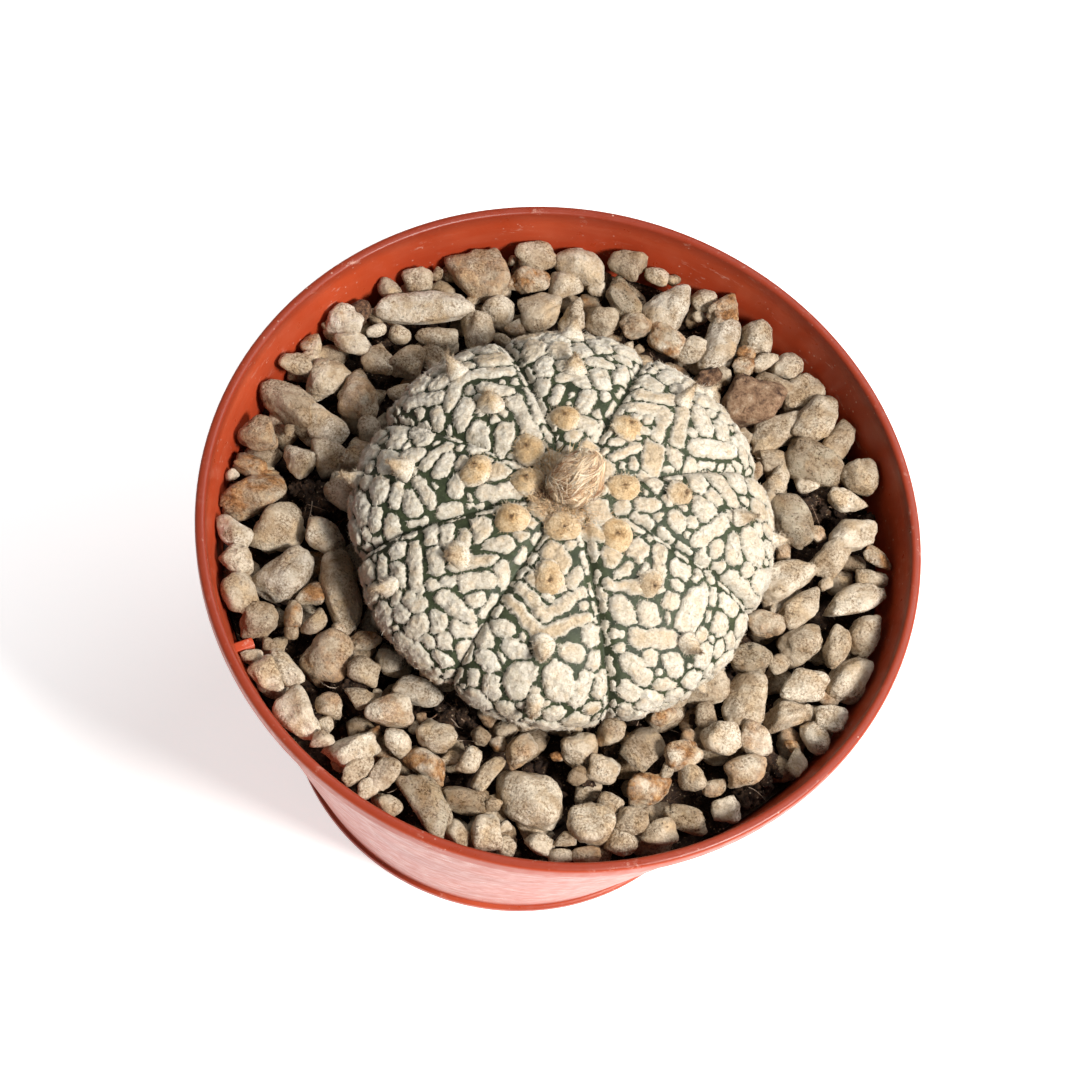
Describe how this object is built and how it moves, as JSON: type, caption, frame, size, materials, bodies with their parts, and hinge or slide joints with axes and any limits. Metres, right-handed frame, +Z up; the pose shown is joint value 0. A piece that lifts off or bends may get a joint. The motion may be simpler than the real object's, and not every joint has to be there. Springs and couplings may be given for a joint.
{
  "type": "potted star cactus",
  "caption": "Flat ribbed star cactus covered in raised white felt flecks, with woolly areoles and a crown bud, in a tapered round plastic pot topped with pumice stones.",
  "frame": {"origin": "centre of the pot's foot ring, on the surface that it stands on", "axes": "+Z up along the pot's axis; the pictured view looks from -Y, steeply down"},
  "size_m": [0.12, 0.12, 0.1058],
  "materials": {
    "pot_plastic": "satin terracotta-coloured injection-moulded plastic with faint lime marks",
    "potting_mix": "damp dark mineral and peat mix with fine rootlets",
    "pumice": "dry matt pumice with fine pores, pale beige with some rusty stones",
    "cactus_skin": "dark green skin covered by raised white felt flecks",
    "bud_wool": "tan woolly hair"
  },
  "bodies": {
    "root": {"pot": "pot_plastic", "potting_mix": "potting_mix", "pumice_gravel": "pumice", "cactus_body": "cactus_skin", "flower_bud": "bud_wool"}
  },
  "joints": []
}
